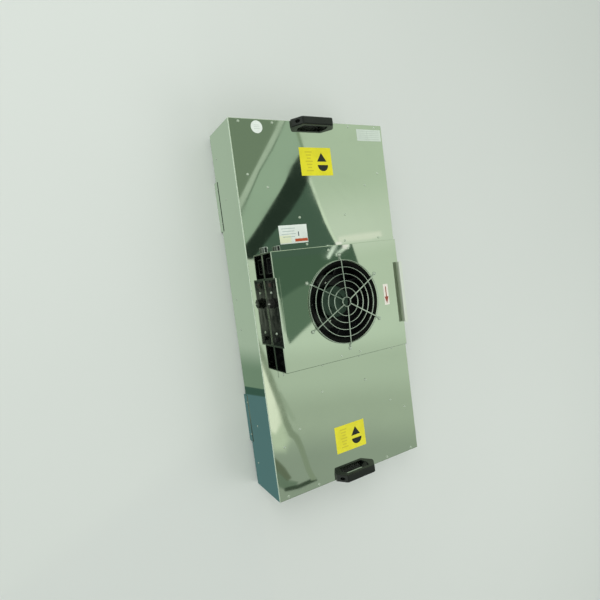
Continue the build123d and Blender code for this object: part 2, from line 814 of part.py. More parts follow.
bracket_bottom = face_z + bracket_base
bracket_top = cover_top + bracket_rise
for side, bracket_name in ((-1, "side_bracket_front"), (1, "side_bracket_back")):
    facing = front_plane(cover_y) if side < 0 else back_plane(cover_y)
    with BuildPart() as bracket:
        with BuildSketch(facing):
            with Locations((0, (bracket_bottom + bracket_top) / 2)):
                Rectangle(bracket_length, bracket_top - bracket_bottom)
        extrude(amount=bracket_sheet)
        with BuildSketch(facing.offset(bracket_sheet)):
            with Locations((0, bracket_top - bracket_hem / 2)):
                Rectangle(bracket_length, bracket_hem)
        extrude(amount=bracket_sheet)
        with BuildSketch(facing.offset(bracket_sheet)):
            with Locations((0, bracket_top - bracket_sheet / 2)):
                Rectangle(bracket_length, bracket_sheet)
        extrude(amount=-bracket_lip)
        fillet(bracket.edges().filter_by(Axis.X).group_by(Axis.Z)[-1], radius=bracket_bend)
        screw_holes(facing.offset(bracket_sheet), bracket_screw_spots, 2 * bracket_sheet)
        if side < 0:
            control_cutouts(facing.offset(bracket_sheet), 2 * bracket_sheet)
    bracket.part.label = bracket_name
    export_step(bracket.part, f"parts/{bracket_name}.step")

with BuildPart() as control_plate:
    control_plate_top = bracket_top - bracket_hem - control_plate_top_gap
    with BuildSketch(front_plane(-bracket_y)):
        with Locations((0, (bracket_bottom + control_plate_top) / 2)):
            RectangleRounded(
                bracket_length - 2 * control_plate_rim,
                control_plate_top - bracket_bottom,
                fold_radius,
            )
    extrude(amount=control_plate_sheet)
    screw_holes(front_plane(-plate_y), bracket_screw_spots, 2 * control_plate_sheet)
    control_cutouts(front_plane(-plate_y), 2 * control_plate_sheet)
control_plate.part.label = "control_plate"
export_step(control_plate.part, "parts/control_plate.step")

with BuildPart() as bracket_screws:
    screws(front_plane(-plate_y), bracket_screw_spots, screw_length)
    screws(back_plane(cover_y + bracket_sheet), bracket_screw_spots, screw_length)
bracket_screws.part.label = "bracket_screws"
export_step(bracket_screws.part, "parts/bracket_screws.step")

# Speed controller behind the cover's wall, with its knob in front of the control plate
with BuildPart() as speed_controller:
    with BuildSketch(front_plane(-wall_inner_y)):
        with Locations((knob_x, controls_z)):
            Rectangle(controller_width, controller_height)
    extrude(amount=-controller_depth)
    shaft_reach = wall_inner_y - plate_y + knob_shaft_reach
    with BuildSketch(front_plane(-wall_inner_y)):
        with Locations((knob_x, controls_z)):
            Circle(knob_shaft_radius)
    extrude(amount=shaft_reach)
speed_controller.part.label = "speed_controller"
export_step(speed_controller.part, "parts/speed_controller.step")

with BuildPart() as speed_knob:
    knob_back = plate_y - running_gap
    with BuildSketch(front_plane(-knob_back)):
        with Locations((knob_x, controls_z)):
            Circle(knob_radius)
    extrude(amount=knob_skirt_height)
    with BuildSketch(front_plane(-knob_back + knob_skirt_height)):
        with Locations((knob_x, controls_z)):
            Circle(knob_grip_radius)
            with PolarLocations(knob_flute_circle, knob_flutes):
                Circle(knob_flute_radius, mode=Mode.SUBTRACT)
    extrude(amount=knob_height - knob_skirt_height)
    with BuildSketch(front_plane(-knob_back + knob_height)):
        with Locations((knob_x, controls_z + knob_mark_length / 2)):
            Rectangle(knob_mark_width, knob_mark_length)
    extrude(amount=-knob_mark_depth, mode=Mode.SUBTRACT)
    with BuildSketch(front_plane(-knob_back)):
        with Locations((knob_x, controls_z)):
            Circle(knob_shaft_radius + shaft_fit)
    extrude(amount=knob_shaft_reach + running_gap, mode=Mode.SUBTRACT)
speed_knob.part.label = "speed_knob"
export_step(speed_knob.part, "parts/speed_knob.step")

# Power rocker: a round-backed paddle on two pivot stubs inside its bezel
pivot_y = plate_y + rocker_pivot_depth
well_length = rocker_width + 2 * running_gap
well_height = 2 * (rocker_radius + running_gap)
with BuildPart() as rocker_bezel:
    with BuildSketch(front_plane(-plate_y)):
        with Locations((rocker_x, controls_z)):
            RectangleRounded(bezel_length, bezel_height, bezel_corner)
    extrude(amount=bezel_lip)
    with BuildSketch(front_plane(-plate_y)):
        with Locations((rocker_x, controls_z)):
            Rectangle(bezel_body_length, bezel_body_height)
    extrude(amount=-bezel_depth)
    with BuildSketch(front_plane(-plate_y + bezel_lip)):
        with Locations((rocker_x, controls_z)):
            Rectangle(well_length, well_height)
    extrude(amount=bezel_wall - bezel_depth - bezel_lip, mode=Mode.SUBTRACT)
    with BuildSketch(Plane.YZ.offset(rocker_x)):
        with Locations((pivot_y, controls_z)):
            Circle(rocker_stub_radius + shaft_fit)
    extrude(amount=well_length / 2 + rocker_stub_length, both=True, mode=Mode.SUBTRACT)
rocker_bezel.part.label = "rocker_bezel"
export_step(rocker_bezel.part, "parts/rocker_bezel.step")

with BuildPart() as power_rocker:
    rest_axis = Axis((rocker_x, pivot_y, controls_z), (1, 0, 0))
    with BuildSketch(Plane.YZ.offset(rocker_x)):
        with Locations((pivot_y, controls_z)):
            Circle(rocker_radius)
        with BuildLine():
            front_y = pivot_y - rocker_waist
            tip_y = pivot_y - rocker_tip
            Polyline(
                (front_y, controls_z),
                (tip_y, controls_z + rocker_radius),
                (pivot_y - 2 * rocker_radius, controls_z + rocker_radius),
                (pivot_y - 2 * rocker_radius, controls_z - rocker_radius),
                (tip_y, controls_z - rocker_radius),
                close=True,
            )
        make_face(mode=Mode.SUBTRACT)
    extrude(amount=rocker_width / 2, both=True)
    with BuildSketch(Plane.YZ.offset(rocker_x)):
        with Locations((pivot_y, controls_z)):
            Circle(rocker_stub_radius)
    extrude(amount=rocker_width / 2 + rocker_stub_length, both=True)
power_rocker.part = power_rocker.part.rotate(rest_axis, rocker_rest_tilt)
power_rocker.part.label = "power_rocker"
export_step(power_rocker.part, "parts/power_rocker.step")

with BuildPart() as fuse_holder:
    with BuildSketch(front_plane(-plate_y)):
        with Locations((fuse_x, controls_z)):
            Circle(fuse_radius)
    extrude(amount=fuse_height)
    chamfer(fuse_holder.faces().sort_by(Axis.Y)[0].edges(), length=fuse_edge)
    with BuildSketch(front_plane(-plate_y + fuse_height)):
        with Locations((fuse_x, controls_z)):
            Rectangle(fuse_slot_length, fuse_slot_width)
    extrude(amount=-fuse_slot_depth, mode=Mode.SUBTRACT)
    with BuildSketch(front_plane(-plate_y)):
        with Locations((fuse_x, controls_z)):
            Circle(fuse_body_radius)
    extrude(amount=-fuse_body_depth)
fuse_holder.part.label = "fuse_holder"
export_step(fuse_holder.part, "parts/fuse_holder.step")

# Power inlet: a block on the tray's back wall with an open well and three flat pins
with BuildPart() as power_inlet:
    tray_back_y = wall_inner_y + tray_depth - tray_sheet
    inlet_front = front_plane(-tray_back_y + inlet_block_depth)
    with BuildSketch(front_plane(-tray_back_y)):
        with Locations((-bay_x, bay_z)):
            RectangleRounded(inlet_block_length, inlet_block_height, inlet_block_corner)
    extrude(amount=inlet_block_depth)
    with BuildSketch(inlet_front):
        with Locations((-bay_x, bay_z)):
            RectangleRounded(
                inlet_block_length - 2 * inlet_wall,
                inlet_block_height - 2 * inlet_wall,
                inlet_well_corner,
            )
    extrude(amount=-inlet_well_depth, mode=Mode.SUBTRACT)
    with BuildSketch(inlet_front.offset(-inlet_well_depth)):
        with Locations((-bay_x, bay_z)):
            with GridLocations(inlet_pin_spacing, 0, 3, 1):
                Rectangle(inlet_pin_width, inlet_pin_height)
    extrude(amount=inlet_well_depth - inlet_pin_recess)
power_inlet.part.label = "power_inlet"
export_step(power_inlet.part, "parts/power_inlet.step")

# ---------------------------------------------------------------- handles
for end, handle_name in ((-1, "handle_left"), (1, "handle_right")):
    with BuildPart() as handle:
        with BuildSketch(Plane.YZ.offset(end * handle_x)):
            with BuildLine():
                Polyline(
                    (-handle_length / 2, face_z),
                    (-handle_length / 2, face_z + handle_pad),
                    (-handle_gap_length / 2 - handle_top_run, face_z + handle_height),
                    (handle_gap_length / 2 + handle_top_run, face_z + handle_height),
                    (handle_length / 2, face_z + handle_pad),
                    (handle_length / 2, face_z),
                    close=True,
                )
            make_face()
            with BuildLine():
                Polyline(
                    (-handle_gap_length / 2, face_z),
                    (-handle_gap_length / 2 + handle_leg_run, face_z + handle_height - handle_grip),
                    (handle_gap_length / 2 - handle_leg_run, face_z + handle_height - handle_grip),
                    (handle_gap_length / 2, face_z),
                    close=True,
                )
            make_face(mode=Mode.SUBTRACT)
        extrude(amount=handle_width / 2, both=True)
        fillet(handle.edges().filter_by(Axis.X).group_by(Axis.Z)[-1], radius=handle_bend)
        fillet(handle.edges().filter_by(Axis.Y).group_by(Axis.Z)[-1], radius=handle_edge)
        # Counterbores let the screw heads sit on the pads under the sloping legs
        pad_plane = Plane.XY.offset(face_z + handle_pad)
        pad_spots = [(x, y) for x, y in handle_screw_spots if x * end > 0]
        with BuildSketch(pad_plane):
            with Locations(*pad_spots):
                Circle(screw_head_radius + handle_bore_gap)
        extrude(amount=handle_height, mode=Mode.SUBTRACT)
        screw_holes(pad_plane, pad_spots, 2 * handle_pad)
    handle.part.label = handle_name
    export_step(handle.part, f"parts/{handle_name}.step")

with BuildPart() as handle_screws:
    handle_screw_length = handle_pad + screw_length - 2 * sheet
    screws(Plane.XY.offset(face_z + handle_pad), handle_screw_spots, handle_screw_length)
handle_screws.part.label = "handle_screws"
export_step(handle_screws.part, "parts/handle_screws.step")

# ---------------------------------------------------------------- screws in the top face and cover
with BuildPart() as casing_screws:
    screws(Plane.XY.offset(face_z), face_screw_spots, screw_length)
casing_screws.part.label = "casing_screws"
export_step(casing_screws.part, "parts/casing_screws.step")

with BuildPart() as cover_screws:
    screws(Plane.XY.offset(face_z + sheet), flange_screw_spots, screw_length)
    screws(Plane.XY.offset(cover_top), cover_screw_spots, screw_length)
cover_screws.part.label = "cover_screws"
export_step(cover_screws.part, "parts/cover_screws.step")

# ---------------------------------------------------------------- labels and plates
yellow_x = end_x - yellow_label_end_inset
yellow_size = (yellow_label_length, yellow_label_width)
label_rectangles = {
    "yellow_label_left": ((-yellow_x, 0), yellow_size, face_z),
    "yellow_label_right": ((yellow_x, 0), yellow_size, face_z),
    "rating_label": (
        (-cover_length / 2 - rating_label_end_gap, -cover_y + rating_label_side_inset),
        (rating_label_length, rating_label_width),
        face_z,
    ),
    "type_plate": (
        (-end_x + type_plate_end_inset, side_y - type_plate_side_inset),
        (type_plate_length, type_plate_width),
        face_z,
    ),
    "flow_label": (
        (0, inlet_radius + flow_label_gap),
        (flow_label_length, flow_label_width),
        cover_top,
    ),
}
for label_name, (centre, size, z) in label_rectangles.items():
    with BuildPart() as label:
        with BuildSketch(Plane.XY.offset(z)):
            with Locations(centre):
                Rectangle(*size)
        extrude(amount=label_sheet)
    label.part.label = label_name
    export_step(label.part, f"parts/{label_name}.step")

with BuildPart() as round_label:
    with BuildSketch(Plane.XY.offset(face_z)):
        with Locations((-end_x + round_label_end_inset, -side_y + round_label_side_inset)):
            Circle(round_label_radius)
    extrude(amount=label_sheet)
round_label.part.label = "round_label"
export_step(round_label.part, "parts/round_label.step")

# ---------------------------------------------------------------- connectors beside the cover
plug_x = -cover_length / 2 - plug_length / 2 - plug_gap
first_plug_y = -cover_y + plug_side_inset
plug_places = {
    "control_connector_outer": first_plug_y,
    "control_connector_inner": first_plug_y + plug_pitch,
}
for plug_name, plug_y in plug_places.items():
    with BuildPart() as plug:
        base_z = face_z + sheet
        with BuildSketch(Plane.XY.offset(base_z)):
            with Locations((plug_x, plug_y)):
                Rectangle(plug_length, plug_width)
        extrude(amount=plug_height)
        with BuildSketch(Plane.XY.offset(base_z + plug_height)):
            with Locations((plug_x, plug_y)):
                Rectangle(plug_length - 2 * plug_wall, plug_width - 2 * plug_wall)
        extrude(amount=plug_floor - plug_height, mode=Mode.SUBTRACT)
        with BuildSketch(Plane.XY.offset(base_z + plug_floor)):
            with Locations((plug_x, plug_y)):
                with GridLocations(plug_pin_spacing, 0, 2, 1):
                    Circle(plug_pin_radius)
        extrude(amount=plug_height - plug_floor - plug_pin_recess)
    plug.part.label = plug_name
    export_step(plug.part, f"parts/{plug_name}.step")
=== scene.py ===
"""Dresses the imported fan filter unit: a finish for every piece, its labels and a plain studio."""

import math

import bpy
from mathutils import Euler, Matrix, Vector


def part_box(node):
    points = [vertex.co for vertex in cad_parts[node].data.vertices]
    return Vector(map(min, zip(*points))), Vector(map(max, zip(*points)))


bl_info = {
    "name": "Fan filter unit dressing",
    "version": (1, 0, 0),
    "blender": (4, 5, 0),
    "location": "View3D > Sidebar > Filter unit",
    "description": "Finishes, labels and studio of a ceiling fan filter unit",
    "category": "Object",
}

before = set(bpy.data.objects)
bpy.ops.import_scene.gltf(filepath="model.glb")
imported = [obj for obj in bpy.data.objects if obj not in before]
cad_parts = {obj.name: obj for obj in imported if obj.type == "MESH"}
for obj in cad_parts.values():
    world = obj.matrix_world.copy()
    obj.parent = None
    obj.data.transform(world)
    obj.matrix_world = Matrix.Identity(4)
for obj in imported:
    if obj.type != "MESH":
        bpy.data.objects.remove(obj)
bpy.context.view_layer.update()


# ------------------------------------------------------------------ shader expressions
class Value:
    """One shader socket, so that shader maths is written as a Python expression."""

    def __init__(self, finish, socket):
        self.finish = finish
        self.socket = socket

    def _maths(self, operation, *others):
        """This value first, then the others."""
        inputs = dict(enumerate((self, *others)))
        return self.finish.node("ShaderNodeMath", {"operation": operation}, inputs)

    def _reflected(self, operation, first):
        """A plain number first, then this value."""
        return self.finish.node("ShaderNodeMath", {"operation": operation}, {0: first, 1: self})

    def __add__(self, other):
        return self._maths("ADD", other)

    def __radd__(self, other):
        return self._reflected("ADD", other)

    def __sub__(self, other):
        return self._maths("SUBTRACT", other)

    def __rsub__(self, other):
        return self._reflected("SUBTRACT", other)

    def __mul__(self, other):
        return self._maths("MULTIPLY", other)

    def __rmul__(self, other):
        return self._reflected("MULTIPLY", other)

    def __truediv__(self, other):
        return self._maths("DIVIDE", other)

    def __neg__(self):
        return self * -1.0

    def __abs__(self):
        return self._maths("ABSOLUTE")

    def __rpow__(self, other):
        return self._reflected("POWER", other)

    def above(self, limit):
        """1 where the value is more than the limit, and 0 elsewhere."""
        return self._maths("GREATER_THAN", limit)

    def below(self, limit):
        """1 where the value is less than the limit, and 0 elsewhere."""
        return self._maths("LESS_THAN", limit)

    def least(self, other):
        """The lesser of the two."""
        return self._maths("MINIMUM", other)

    def most(self, other):
        """The greater of the two."""
        return self._maths("MAXIMUM", other)

    def ramp(self, low, high):
        """0 up to low and 1 from high, with a smooth rise between."""
        return self.finish.node(
            "ShaderNodeMapRange",
            {"interpolation_type": "SMOOTHSTEP"},
            {"Value": self, "From Min": low, "From Max": high},
        )


class Finish:
    """A procedural material with one main shader, or the nodes of a tree that is handed in."""

    def __init__(self, name, tree=None):
        if tree is None:
            self.material = bpy.data.materials.new(name)
            self.material.use_nodes = True
            self.tree = self.material.node_tree
            self.tree.nodes.clear()
            self.shader = self.tree.nodes.new("ShaderNodeBsdfPrincipled")
            self.output = self.tree.nodes.new("ShaderNodeOutputMaterial")
            self.tree.links.new(self.shader.outputs[0], self.output.inputs["Surface"])
        else:
            self.tree = tree
            self.tree.nodes.clear()

    def node(self, kind, settings=None, inputs=None, out=0):
        """Makes any node: its settings first, then the values or links of its sockets."""
        made = self.tree.nodes.new(kind)
        for key, value in (settings or {}).items():
            setattr(made, key, value)
        for key, value in (inputs or {}).items():
            self.feed(made.inputs[key], value)
        return Value(self, made.outputs[out])

    def feed(self, socket, value):
        """Links a socket to a Value, or gives it a plain number, vector or colour."""
        if isinstance(value, Value):
            self.tree.links.new(value.socket, socket)
        elif isinstance(value, (tuple, list)) and socket.type == "RGBA" and len(value) == 3:
            socket.default_value = (*value, 1.0)
        else:
            socket.default_value = value

    def set(self, **sockets):
        """Sets the main shader's sockets, with underscores for the spaces in their names."""
        for key, value in sockets.items():
            self.feed(self.shader.inputs[key.replace("_", " ")], value)
        return self

    def surface(self, shader):
        """Puts another shader in the main one's place."""
        self.tree.nodes.remove(self.shader)
        self.feed(self.output.inputs["Surface"], shader)

    def place(self):
        """The point on the piece in metres, in the piece's own frame."""
        return self.node("ShaderNodeTexCoord", out="Object")

    def parts(self, vector):
        """The x, y and z of a vector."""
        split = self.node("ShaderNodeSeparateXYZ", None, {0: vector})
        return [Value(self, socket) for socket in split.socket.node.outputs]

    def stretched(self, vector, scale):
        """The vector times a scale for each axis."""
        return self.node("ShaderNodeVectorMath", {"operation": "MULTIPLY"}, {0: vector, 1: scale})

    def noise(self, scale, detail=3.0, roughness=0.5, vector=None, distortion=0.0):
        """Soft noise from 0 to 1, at a scale in features per metre."""
        return self.node(
            "ShaderNodeTexNoise",
            None,
            {
                "Vector": vector or self.place(),
                "Scale": scale,
                "Detail": detail,
                "Roughness": roughness,
                "Distortion": distortion,
            },
        )

    def grain(self, scale, feature="F1", out="Distance"):
        """Cells at a scale in cells per metre."""
        inputs = {"Vector": self.place(), "Scale": scale}
        return self.node("ShaderNodeTexVoronoi", {"feature": feature}, inputs, out=out)

    def blend(self, mask, first, second):
        """The first colour where the mask is 0 and the second where it is 1."""
        inputs = {0: mask, 6: first, 7: second}
        return self.node("ShaderNodeMix", {"data_type": "RGBA"}, inputs, out=2)

    def relief(self, height, distance, strength=1.0, under=None):
        """A bumped normal: a height from 0 to 1 over a distance in metres."""
        inputs = {"Height": height, "Distance": distance, "Strength": strength}
        if under is not None:
            inputs["Normal"] = under
        return self.node("ShaderNodeBump", None, inputs)


def put_finish(finish, *names):
    """Gives CAD nodes a material through their own slots."""
    for name in names:
        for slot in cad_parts[name].material_slots:
            slot.material = finish.material


# ------------------------------------------------------------------ sizes and colours
class SteelSettings(bpy.types.PropertyGroup):
    """Settings of the polished sheet"""

    # The sage in this tint is a painted reflection: it stands in for the green room that the sheet
    # mirrors, on steel that is itself neutral.
    tint: bpy.props.FloatVectorProperty(
        name="Steel tint",
        description="Colour of the polished sheet",
        subtype="COLOR",
        default=(0.70, 0.74, 0.66),
        min=0.0,
        max=1.0,
    )
    gloss_roughness: bpy.props.FloatProperty(
        name="Polish roughness", description="Roughness of the polished sheet", default=0.03
    )
    wave_height: bpy.props.FloatProperty(
        name="Wave height",
        description="How deep the slow waves in the thin sheet are",
        default=0.00016,
        unit="LENGTH",
    )
    wave_spacing: bpy.props.FloatProperty(
        name="Wave spacing", description="Distance between slow waves", default=0.42, unit="LENGTH"
    )
    # Width of the painted highlight: a near-white line along the long fold that stands in for the
    # light the fold catches.
    fold_highlight_width: bpy.props.FloatProperty(
        name="Fold width",
        description="Width of the line that the press brake rubbed along the long fold",
        default=0.0028,
        unit="LENGTH",
    )


class TrimSettings(bpy.types.PropertyGroup):
    """Colours of the labels and the black mouldings"""

    label_yellow: bpy.props.FloatVectorProperty(
        name="Label yellow",
        description="Field colour of the two large labels",
        subtype="COLOR",
        default=(0.78, 0.72, 0.012),
    )
    block_red: bpy.props.FloatVectorProperty(
        name="Block red",
        description="Colour of the printed block on the rating label",
        subtype="COLOR",
        default=(0.55, 0.085, 0.02),
    )
    black: bpy.props.FloatVectorProperty(
        name="Trim black",
        description="Colour of the mouldings in the control bay",
        subtype="COLOR",
        default=(0.012, 0.013, 0.013),
    )


class StudioSettings(bpy.types.PropertyGroup):
    """Settings of the floor, the camera and the mirrored panels"""

    floor_colour: bpy.props.FloatVectorProperty(
        name="Floor colour",
        description="Colour of the plain floor",
        subtype="COLOR",
        default=(0.70, 0.73, 0.70),
    )
    camera_place: bpy.props.FloatVectorProperty(
        name="Camera place",
        description="Where the camera stands",
        subtype="TRANSLATION",
        unit="LENGTH",
        default=(-0.1135, -0.7936, 1.4091),
    )
    camera_turn: bpy.props.FloatVectorProperty(
        name="Camera turn",
        description="How the camera is turned about X, Y and Z",
        subtype="EULER",
        unit="ROTATION",
        default=[math.radians(angle) for angle in (0.390, -28.835, 81.552)],
    )
    lens: bpy.props.FloatProperty(
        name="Lens", description="Focal length on a 36 mm wide sensor", default=26.39
    )
    flag_height: bpy.props.FloatProperty(
        name="Flag height",
        description="Height of the panels that the polished sheet mirrors",
        default=3.0,
        unit="LENGTH",
    )


def studio():
    return bpy.context.scene.filter_unit_studio


def steel():
    return bpy.context.scene.filter_unit_steel


def trim():
    return bpy.context.scene.filter_unit_trim


# ------------------------------------------------------------------ polished steel
FOLD_DEPTH = 0.002  # how far down the wall the painted highlight along the fold goes
ROLL_REACH = 0.035  # how far in from the fold the sheet rolls down
# Colour of the painted highlight along the long fold.
FOLD_HIGHLIGHT = (0.97, 1.0, 0.93)


def darker(colour, share):
    """The colour with each part brought down to a share of itself."""
    return tuple(share * part for part in colour)


def polished_sheet(name, edge_roll=0.0, edge_box=None, satin=0.0):
    """Mirror-polished thin sheet: slow waves, faint polishing lines, haze and wiped smears."""
    finish = Finish(name)
    place = finish.place()
    _, y, z = finish.parts(place)
    wave_scale = 1.0 / steel().wave_spacing
    slow = finish.noise(wave_scale, detail=1.0, vector=finish.stretched(place, (0.8, 1.0, 1.0)))
    middle = finish.noise(3.1 * wave_scale, detail=0.0)
    height = (slow + 0.12 * middle) * steel().wave_height
    if edge_box is not None:
        from_fold = y - edge_box[0][1]
        height = height + math.e ** -(from_fold / ROLL_REACH).most(0.0) * edge_roll
    bent = finish.relief(height, 1.0)
    lines = finish.noise(260.0, detail=4.0, vector=finish.stretched(place, (1.0, 0.03, 1.0)))
    fine = finish.relief(lines, 0.000004, 0.6, under=bent)
    haze = finish.noise(5.0, detail=5.0, roughness=0.65)
    smear = finish.noise(2.2, detail=6.0, roughness=0.7, distortion=1.2).ramp(0.55, 0.72)
    base = steel().gloss_roughness + satin
    roughness = base + 0.05 * haze.ramp(0.45, 0.8) + 0.045 * smear
    tint = tuple(steel().tint)
    colour = finish.blend(smear * 0.5 + 0.3 * haze.ramp(0.4, 0.7), tint, darker(tint, 0.93))
    if edge_box is not None:
        # Painted highlight: a near-white, duller line along the top of the long fold stands in for
        # the light the fold catches.
        fold = from_fold.below(steel().fold_highlight_width) * z.above(edge_box[1][2] - FOLD_DEPTH)
        colour = finish.blend(fold, colour, FOLD_HIGHLIGHT)
        roughness = roughness + 0.4 * fold
    return finish.set(Base_Color=colour, Metallic=1.0, Roughness=roughness, Normal=fine)


class POLISHED_STEEL_OT_dress(bpy.types.Operator):
    """Finishes the casing, the raised cover, the side brackets and the filter retainers"""

    bl_idname = "filter_unit.polished_steel"
    bl_label = "Polished steel sheet"

    def execute(self, context):
        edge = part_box("casing")
        casing = polished_sheet("polished casing sheet", edge_roll=0.00012, edge_box=edge)
        put_finish(casing, "casing")
        put_finish(polished_sheet("polished cover sheet"), "fan_cover")
        back = polished_sheet("satin bracket sheet", satin=0.3)
        put_finish(back.set(Metallic=0.2), "side_bracket_back")
        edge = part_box("side_bracket_front")
        front = polished_sheet("polished bracket sheet", edge_box=edge)
        put_finish(front, "side_bracket_front")
        small = polished_sheet("polished small sheet", satin=0.05)
        retainers = [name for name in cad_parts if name.startswith("filter_retainer")]
        put_finish(small, *retainers)
        return {"FINISHED"}


# ------------------------------------------------------------------ fasteners
def turned_metal(name, colour, roughness=0.22):
    """Bright turned fasteners: fine circular lines, edge wear and a little dirt."""
    finish = Finish(name)
    wear = finish.noise(900.0, detail=4.0)
    dirt = finish.noise(140.0, detail=5.0, roughness=0.7).ramp(0.5, 0.75)
    shade = finish.blend(dirt * 0.55, colour, darker(colour, 0.45))
    bump = finish.relief(wear, 0.00003, 0.5)
    return finish.set(
        Base_Color=shade, Metallic=1.0, Roughness=roughness + 0.25 * dirt, Normal=bump
    )


class FASTENERS_OT_dress(bpy.types.Operator):
    """Finishes the screws and rivets"""

    bl_idname = "filter_unit.fasteners"
    bl_label = "Screws and rivets"

    def execute(self, context):
        bright = turned_metal("bright fasteners", (0.90, 0.92, 0.88), roughness=0.42)
        put_finish(
            bright,
            "casing_screws",
            "cover_screws",
            "guard_screws",
            "rail_screws",
            "bracket_screws",
            "handle_screws",
            "motor_screws",
            "impeller_screws",
        )
        soft = turned_metal("rivet heads", (0.74, 0.75, 0.72), roughness=0.3)
        put_finish(soft, "retainer_rivets", "wall_rivets")
        return {"FINISHED"}


# ------------------------------------------------------------------ inlet, guard and fan
def galvanised_sheet(name, colour):
    """Zinc-coated sheet: large soft spangles and a dull finish."""
    finish = Finish(name)
    spangle = finish.grain(70.0, out="Color")
    tone = finish.parts(spangle)[0]
    shade = finish.blend(tone, darker(colour, 0.78), colour)
    roughness = 0.34 + 0.16 * tone
    bump = finish.relief(finish.noise(420.0, detail=4.0), 0.00004, 0.4)
    return finish.set(Base_Color=shade, Metallic=1.0, Roughness=roughness, Normal=bump)


def painted_sheet(name, colour, roughness=0.4):
    """Powder coat: slight orange peel and settled dust."""
    finish = Finish(name)
    dust = finish.noise(18.0, detail=6.0, roughness=0.7).ramp(0.5, 0.8)
    pale = tuple(0.85 * part + 0.008 for part in colour)
    shade = finish.blend(dust * 0.4, colour, pale)
    peel = finish.relief(finish.noise(700.0, detail=2.0), 0.00003, 0.5)
    return finish.set(Base_Color=shade, Roughness=roughness + 0.15 * dust, Normal=peel)


def cast_metal(name, colour):
    """Cast aluminium with a grainy skin."""
    finish = Finish(name)
    skin = finish.noise(520.0, detail=5.0, roughness=0.6)
    blotch = finish.noise(30.0, detail=3.0)
    shade = finish.blend(blotch.ramp(0.35, 0.7), colour, darker(colour, 0.7))
    bump = finish.relief(skin, 0.00008, 0.6)
    return finish.set(Base_Color=shade, Metallic=1.0, Roughness=0.36 + 0.18 * skin, Normal=bump)


def drawn_wire(name):
    """Bright drawn wire with faint lengthwise lines and dull welds."""
    finish = Finish(name)
    lines = finish.noise(600.0, detail=3.0)
    blotch = finish.noise(45.0, detail=4.0).ramp(0.45, 0.75)
    shade = finish.blend(blotch, (0.66, 0.69, 0.66), (0.42, 0.45, 0.42))
    bump = finish.relief(lines, 0.00002, 0.5)
    return finish.set(Base_Color=shade, Metallic=1.0, Roughness=0.2 + 0.15 * blotch, Normal=bump)


class FAN_OT_dress(bpy.types.Operator):
    """Finishes the inlet ring, the wire guard, the impeller, its motor and the support rails"""

    bl_idname = "filter_unit.fan"
    bl_label = "Inlet, guard and fan"

    def execute(self, context):
        # The near-zero black with little gloss is partly the ring's black paint and partly painted
        # shade: it stands in for the dark deep inside the inlet.
        inlet = painted_sheet("black inlet", (0.003, 0.003, 0.003), roughness=0.6)
        put_finish(inlet.set(Specular_IOR_Level=0.15), "inlet_ring")
        put_finish(drawn_wire("bright guard wire"), "finger_guard")
        wheel = painted_sheet("dark wheel coat", (0.010, 0.011, 0.012), roughness=0.42)
        put_finish(wheel, "impeller")
        # Painted reflection and shade: the motor's green tint stands in for the sage room it
        # mirrors, and its darkness for the shade deep inside the fan.
        put_finish(cast_metal("cast motor", (0.085, 0.125, 0.105)), "motor_rotor", "motor_stator")
        zinc = galvanised_sheet("zinc coated sheet", (0.62, 0.64, 0.65))
        put_finish(zinc, "filter_seat", "motor_plate", "support_rail_front", "support_rail_back")
        put_finish(gloss_plastic("white capacitor", (0.80, 0.80, 0.77)), "run_capacitor")
        return {"FINISHED"}


# ------------------------------------------------------------------ filter
class FILTER_OT_dress(bpy.types.Operator):
    """Finishes the filter's frame, its pleated paper, its net and its gasket"""

    bl_idname = "filter_unit.filter"
    bl_label = "Filter"

    def execute(self, context):
        anodised = Finish("anodised filter frame")
        place = anodised.place()
        along = anodised.stretched(place, (0.02, 0.02, 1.0))
        drawn = anodised.noise(400.0, detail=3.0, vector=along)
        tone = anodised.blend(drawn, (0.66, 0.67, 0.68), (0.78, 0.79, 0.80))
        lines = anodised.relief(drawn, 0.00002, 0.5)
        anodised.set(Base_Color=tone, Metallic=1.0, Roughness=0.3 + 0.1 * drawn, Normal=lines)
        put_finish(anodised, "filter_frame")

        paper = Finish("pleated filter paper")
        fibre = paper.noise(900.0, detail=6.0, roughness=0.7)
        cloud = paper.noise(12.0, detail=3.0)
        shade = paper.blend(cloud, (0.86, 0.86, 0.83), (0.93, 0.93, 0.91))
        paper.set(
            Base_Color=shade,
            Roughness=0.82 + 0.12 * fibre,
            Normal=paper.relief(fibre, 0.0001, 0.6),
        )
        put_finish(paper, "filter_media")

        put_finish(painted_sheet("white net coat", (0.80, 0.80, 0.79)), "filter_net")

        foam = Finish("cellular gasket")
        cells = foam.grain(900.0)
        foam.set(
            Base_Color=foam.blend(cells, (0.02, 0.02, 0.02), (0.06, 0.06, 0.06)),
            Roughness=0.85,
            Normal=foam.relief(cells, 0.0003, 0.8),
        )
        put_finish(foam, "filter_gasket")
        return {"FINISHED"}


# ------------------------------------------------------------------ plastics and controls
BARE_EDGE = 0.0022  # height of the low edge that is rubbed bare on the lacquered plate
SLOT_HALF_WIDTH = 0.0010  # the knob's pointer slot: its half width, depth, start and end
SLOT_DEPTH = 0.0012
SLOT_START = -0.0002
SLOT_END = 0.0125
NYLON_RIM = (0.0007, 0.0016)  # how far in from an edge the nylon turns from pale to the painted shade of its cells


def grained_plastic(name, colour, roughness=0.38):
    """Moulded plastic with a fine spark-eroded grain and worn, shinier high spots."""
    finish = Finish(name)
    cells = finish.grain(1500.0, feature="SMOOTH_F1")
    rub = finish.noise(16.0, detail=4.0).ramp(0.45, 0.75)
    pale = tuple(1.5 * part + 0.006 for part in colour)
    return finish.set(
        Base_Color=finish.blend(rub * 0.5, colour, pale),
        Roughness=roughness - 0.1 * rub,
        Normal=finish.relief(cells, 0.00006, 0.5),
    )


